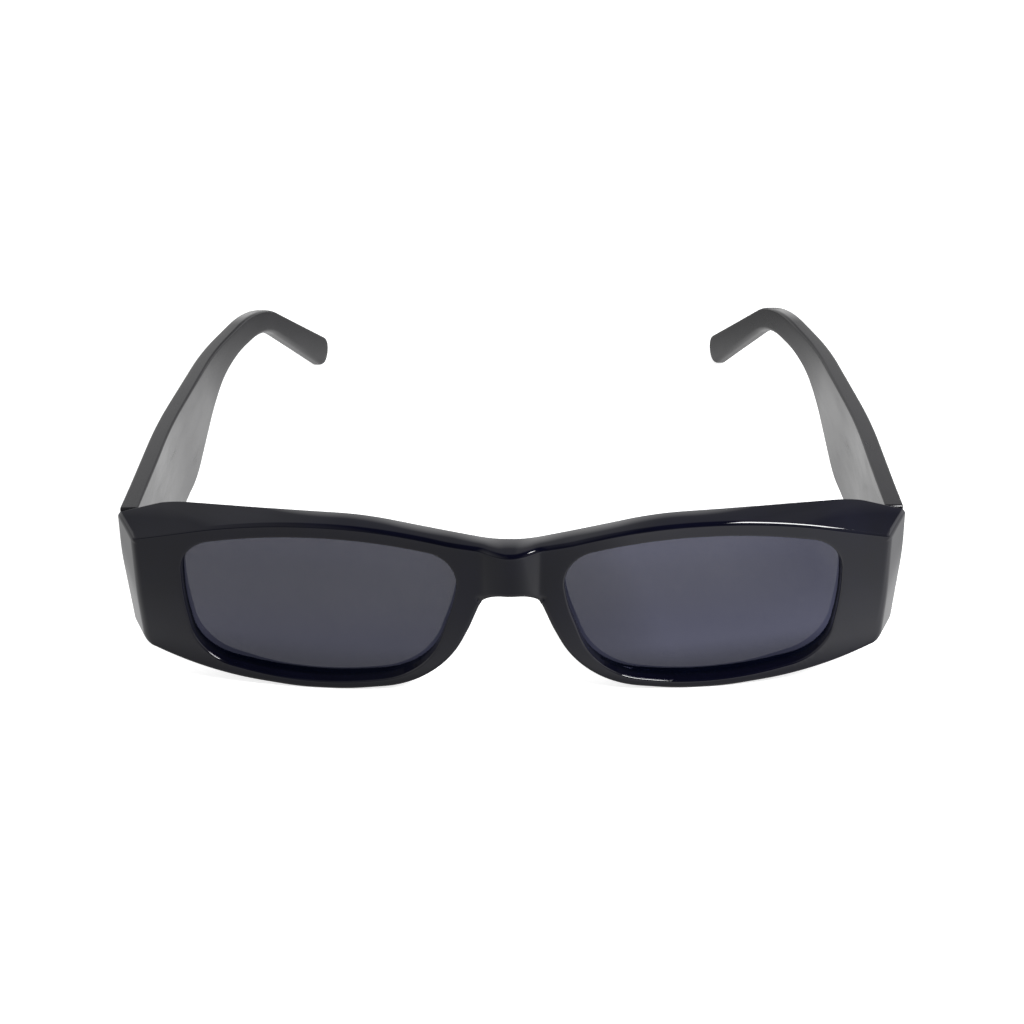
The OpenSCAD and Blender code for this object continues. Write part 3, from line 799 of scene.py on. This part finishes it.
def floor_plane():
    """A floor that looks plain white and lights the glasses with a soft map of brightness."""
    skin = Skin()
    reach, steps = 1800.0, 8
    rows = [skin.ring([(-reach + 2 * reach * i / steps, -reach + 2 * reach * j / steps, 0)
                       for i in range(steps + 1)]) for j in range(steps + 1)]
    skin.loft(rows, closed=False)
    plane = skin.object("studio_floor")
    plane.modifiers.clear()
    material, tree, base = shader("pale_floor", Roughness=0.9, Specular_IOR_Level=0.1)
    tree.links.new(ramp(tree, noise(tree, 14, 2), [(0.3, 0.78), (0.7, 0.8)]), base.inputs["Base Color"])
    where = place_in(tree, "Object")

    def by(axis, span, stops):
        return spread(tree, where[axis], span, stops, "B_SPLINE")

    before = blend(tree, "MULTIPLY", None,
                   by("X", WHOLE_X, FLOOR_ACROSS), by("Y", FRONT_Y_SPAN, FLOOR_SHADE))
    # Glow between the temples, with the painted shadow under the rims
    between = blend(tree, "MIX", by("X", RIGHT_X, RIGHT),
                    *(by("Y", REAR_Y_SPAN, stops) for stops in FLOOR_BETWEEN_WITH_RIM_SHADOW))
    behind = blend(tree, "MIX", by("X", INSIDE_X, INSIDE), by("X", WHOLE_X, FLOOR_BESIDE), between)
    glow, white = tree.nodes.new("ShaderNodeEmission"), tree.nodes.new("ShaderNodeEmission")
    tree.links.new(blend(tree, "MIX", by("Y", REAR_Y, REAR), before, behind), glow.inputs["Color"])
    glow.inputs["Strength"].default_value = FLOOR_GLOW
    white.inputs["Strength"].default_value = FLOOR_SEEN
    seen = tree.nodes.new("ShaderNodeAddShader")
    tree.links.new(base.outputs[0], seen.inputs[0])
    tree.links.new(white.outputs[0], seen.inputs[1])
    show(tree, tree.nodes["Material Output"], seen, glow)
    plane.data.materials.append(material)


def softbox(name, place, target, width, height, radiance, roll=0.0):
    """A rectangular light whose face has the given brightness, turned by roll about its own axis."""
    light = bpy.data.lights.new(name, "AREA")
    light.shape = "RECTANGLE"
    light.size, light.size_y = width, height
    light.energy = radiance * width * height * math.pi
    lamp = bpy.data.objects.new(name, light)
    lamp.location = place
    aim = (Vector(target) - Vector(place)).to_track_quat("-Z", "Y")
    lamp.rotation_mode = "QUATERNION"
    lamp.rotation_quaternion = aim @ Quaternion((0, 0, 1), roll)
    lamp.visible_camera = False
    bpy.context.scene.collection.objects.link(lamp)


def studio_world():
    """Surroundings that look plain white, and light the glasses from the sides and from behind."""
    world = bpy.data.worlds.new("studio")
    world.use_nodes = True
    bpy.context.scene.world = world
    tree = world.node_tree
    tree.nodes.clear()
    where = place_in(tree, "Generated")
    light, white = tree.nodes.new("ShaderNodeBackground"), tree.nodes.new("ShaderNodeBackground")
    tree.links.new(blend(tree, "ADD", None, spread(tree, where["Y"], DIRECTIONS, WORLD_DEPTH, "LINEAR"),
                         spread(tree, where["X"], DIRECTIONS, WORLD_SIDES, "LINEAR")), light.inputs["Color"])
    white.inputs["Color"].default_value = (1, 1, 1, 1)
    show(tree, tree.nodes.new("ShaderNodeOutputWorld"), white, light)


floor_plane()
studio_world()
softbox("key", (0.180, -0.2207, 0.2657), (0.03, -0.07, 0.02), 0.112, 0.130, 30, roll=0.8)
softbox("left_side", (-0.42, 0.0, 0.2), (-0.1, 0.0, 0.0), 0.3, 0.25, 0.6)
softbox("right_side", (0.42, 0.0, 0.2), (0.1, 0.0, 0.0), 0.3, 0.25, 0.8)

# Camera, as found from the photograph: degrees, metres, the sensor's millimetres and the pixels of the frame
ELEVATION, YAW, ROLL, DISTANCE, SENSOR = 31.79, 1.1, -0.756, 0.392, 36.0
FOCAL_PIXELS, FRAME_PIXELS, AXIS_X, AXIS_Y = 2202.5, 1024.0, 510.21, 574.55
TARGET = Vector((0.0, FRONT_Y * MM, 0.025774))
e, a, r = (math.radians(v) for v in (ELEVATION, YAW, ROLL))
back = Vector((math.sin(a) * math.cos(e), -math.cos(a) * math.cos(e), math.sin(e)))
right = Vector((math.cos(a), math.sin(a), 0))
up = back.cross(right)
right, up = math.cos(r) * right + math.sin(r) * up, math.cos(r) * up - math.sin(r) * right
camera_data = bpy.data.cameras.new("camera")
camera_data.sensor_width = SENSOR
camera_data.lens = SENSOR * FOCAL_PIXELS / FRAME_PIXELS
camera_data.shift_x = (FRAME_PIXELS / 2 - AXIS_X) / FRAME_PIXELS
camera_data.shift_y = (AXIS_Y - FRAME_PIXELS / 2) / FRAME_PIXELS
camera_data.clip_start, camera_data.clip_end = 0.01, 20
camera = bpy.data.objects.new("camera", camera_data)
camera.location = TARGET + DISTANCE * back
camera.rotation_euler = Matrix((right, up, back)).transposed().to_euler()
bpy.context.scene.collection.objects.link(camera)
bpy.context.scene.camera = camera
bpy.context.scene.view_settings.view_transform = "Standard"
